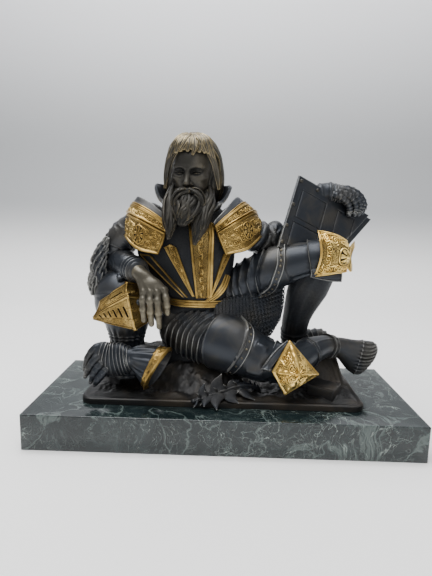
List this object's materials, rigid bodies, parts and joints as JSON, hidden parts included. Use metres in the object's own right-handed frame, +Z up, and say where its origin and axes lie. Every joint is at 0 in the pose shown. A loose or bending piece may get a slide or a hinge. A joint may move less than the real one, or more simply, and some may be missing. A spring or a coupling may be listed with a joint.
{
  "type": "seated knight statue",
  "caption": "Tabletop bronze of a bearded knight in parcel-gilt plate armour, seated on rocky ground with helmet and gauntlet beside, one hand on a studded board, on a marble slab.",
  "frame": {"origin": "middle of the plinth's underside", "axes": "+X to the right seen from the front, along the plinth's length; +Y to the back; +Z up"},
  "size_m": [0.43, 0.18, 0.343],
  "materials": {
    "green_marble": "polished dark green marble with pale green and white veins",
    "brown_bronze": "cast bronze with a brown patina, rubbed lighter on the high places",
    "dark_bronze": "cast bronze with a near-black patina, satin",
    "gilding": "worn matt gilding with darker metal in the hollows"
  },
  "bodies": {
    "root": {"marble_plinth": "green_marble", "bronze_ground": "brown_bronze", "seated_knight": "dark_bronze", "helmet": "dark_bronze", "gauntlet": "dark_bronze", "studded_board": "dark_bronze"}
  },
  "joints": []
}
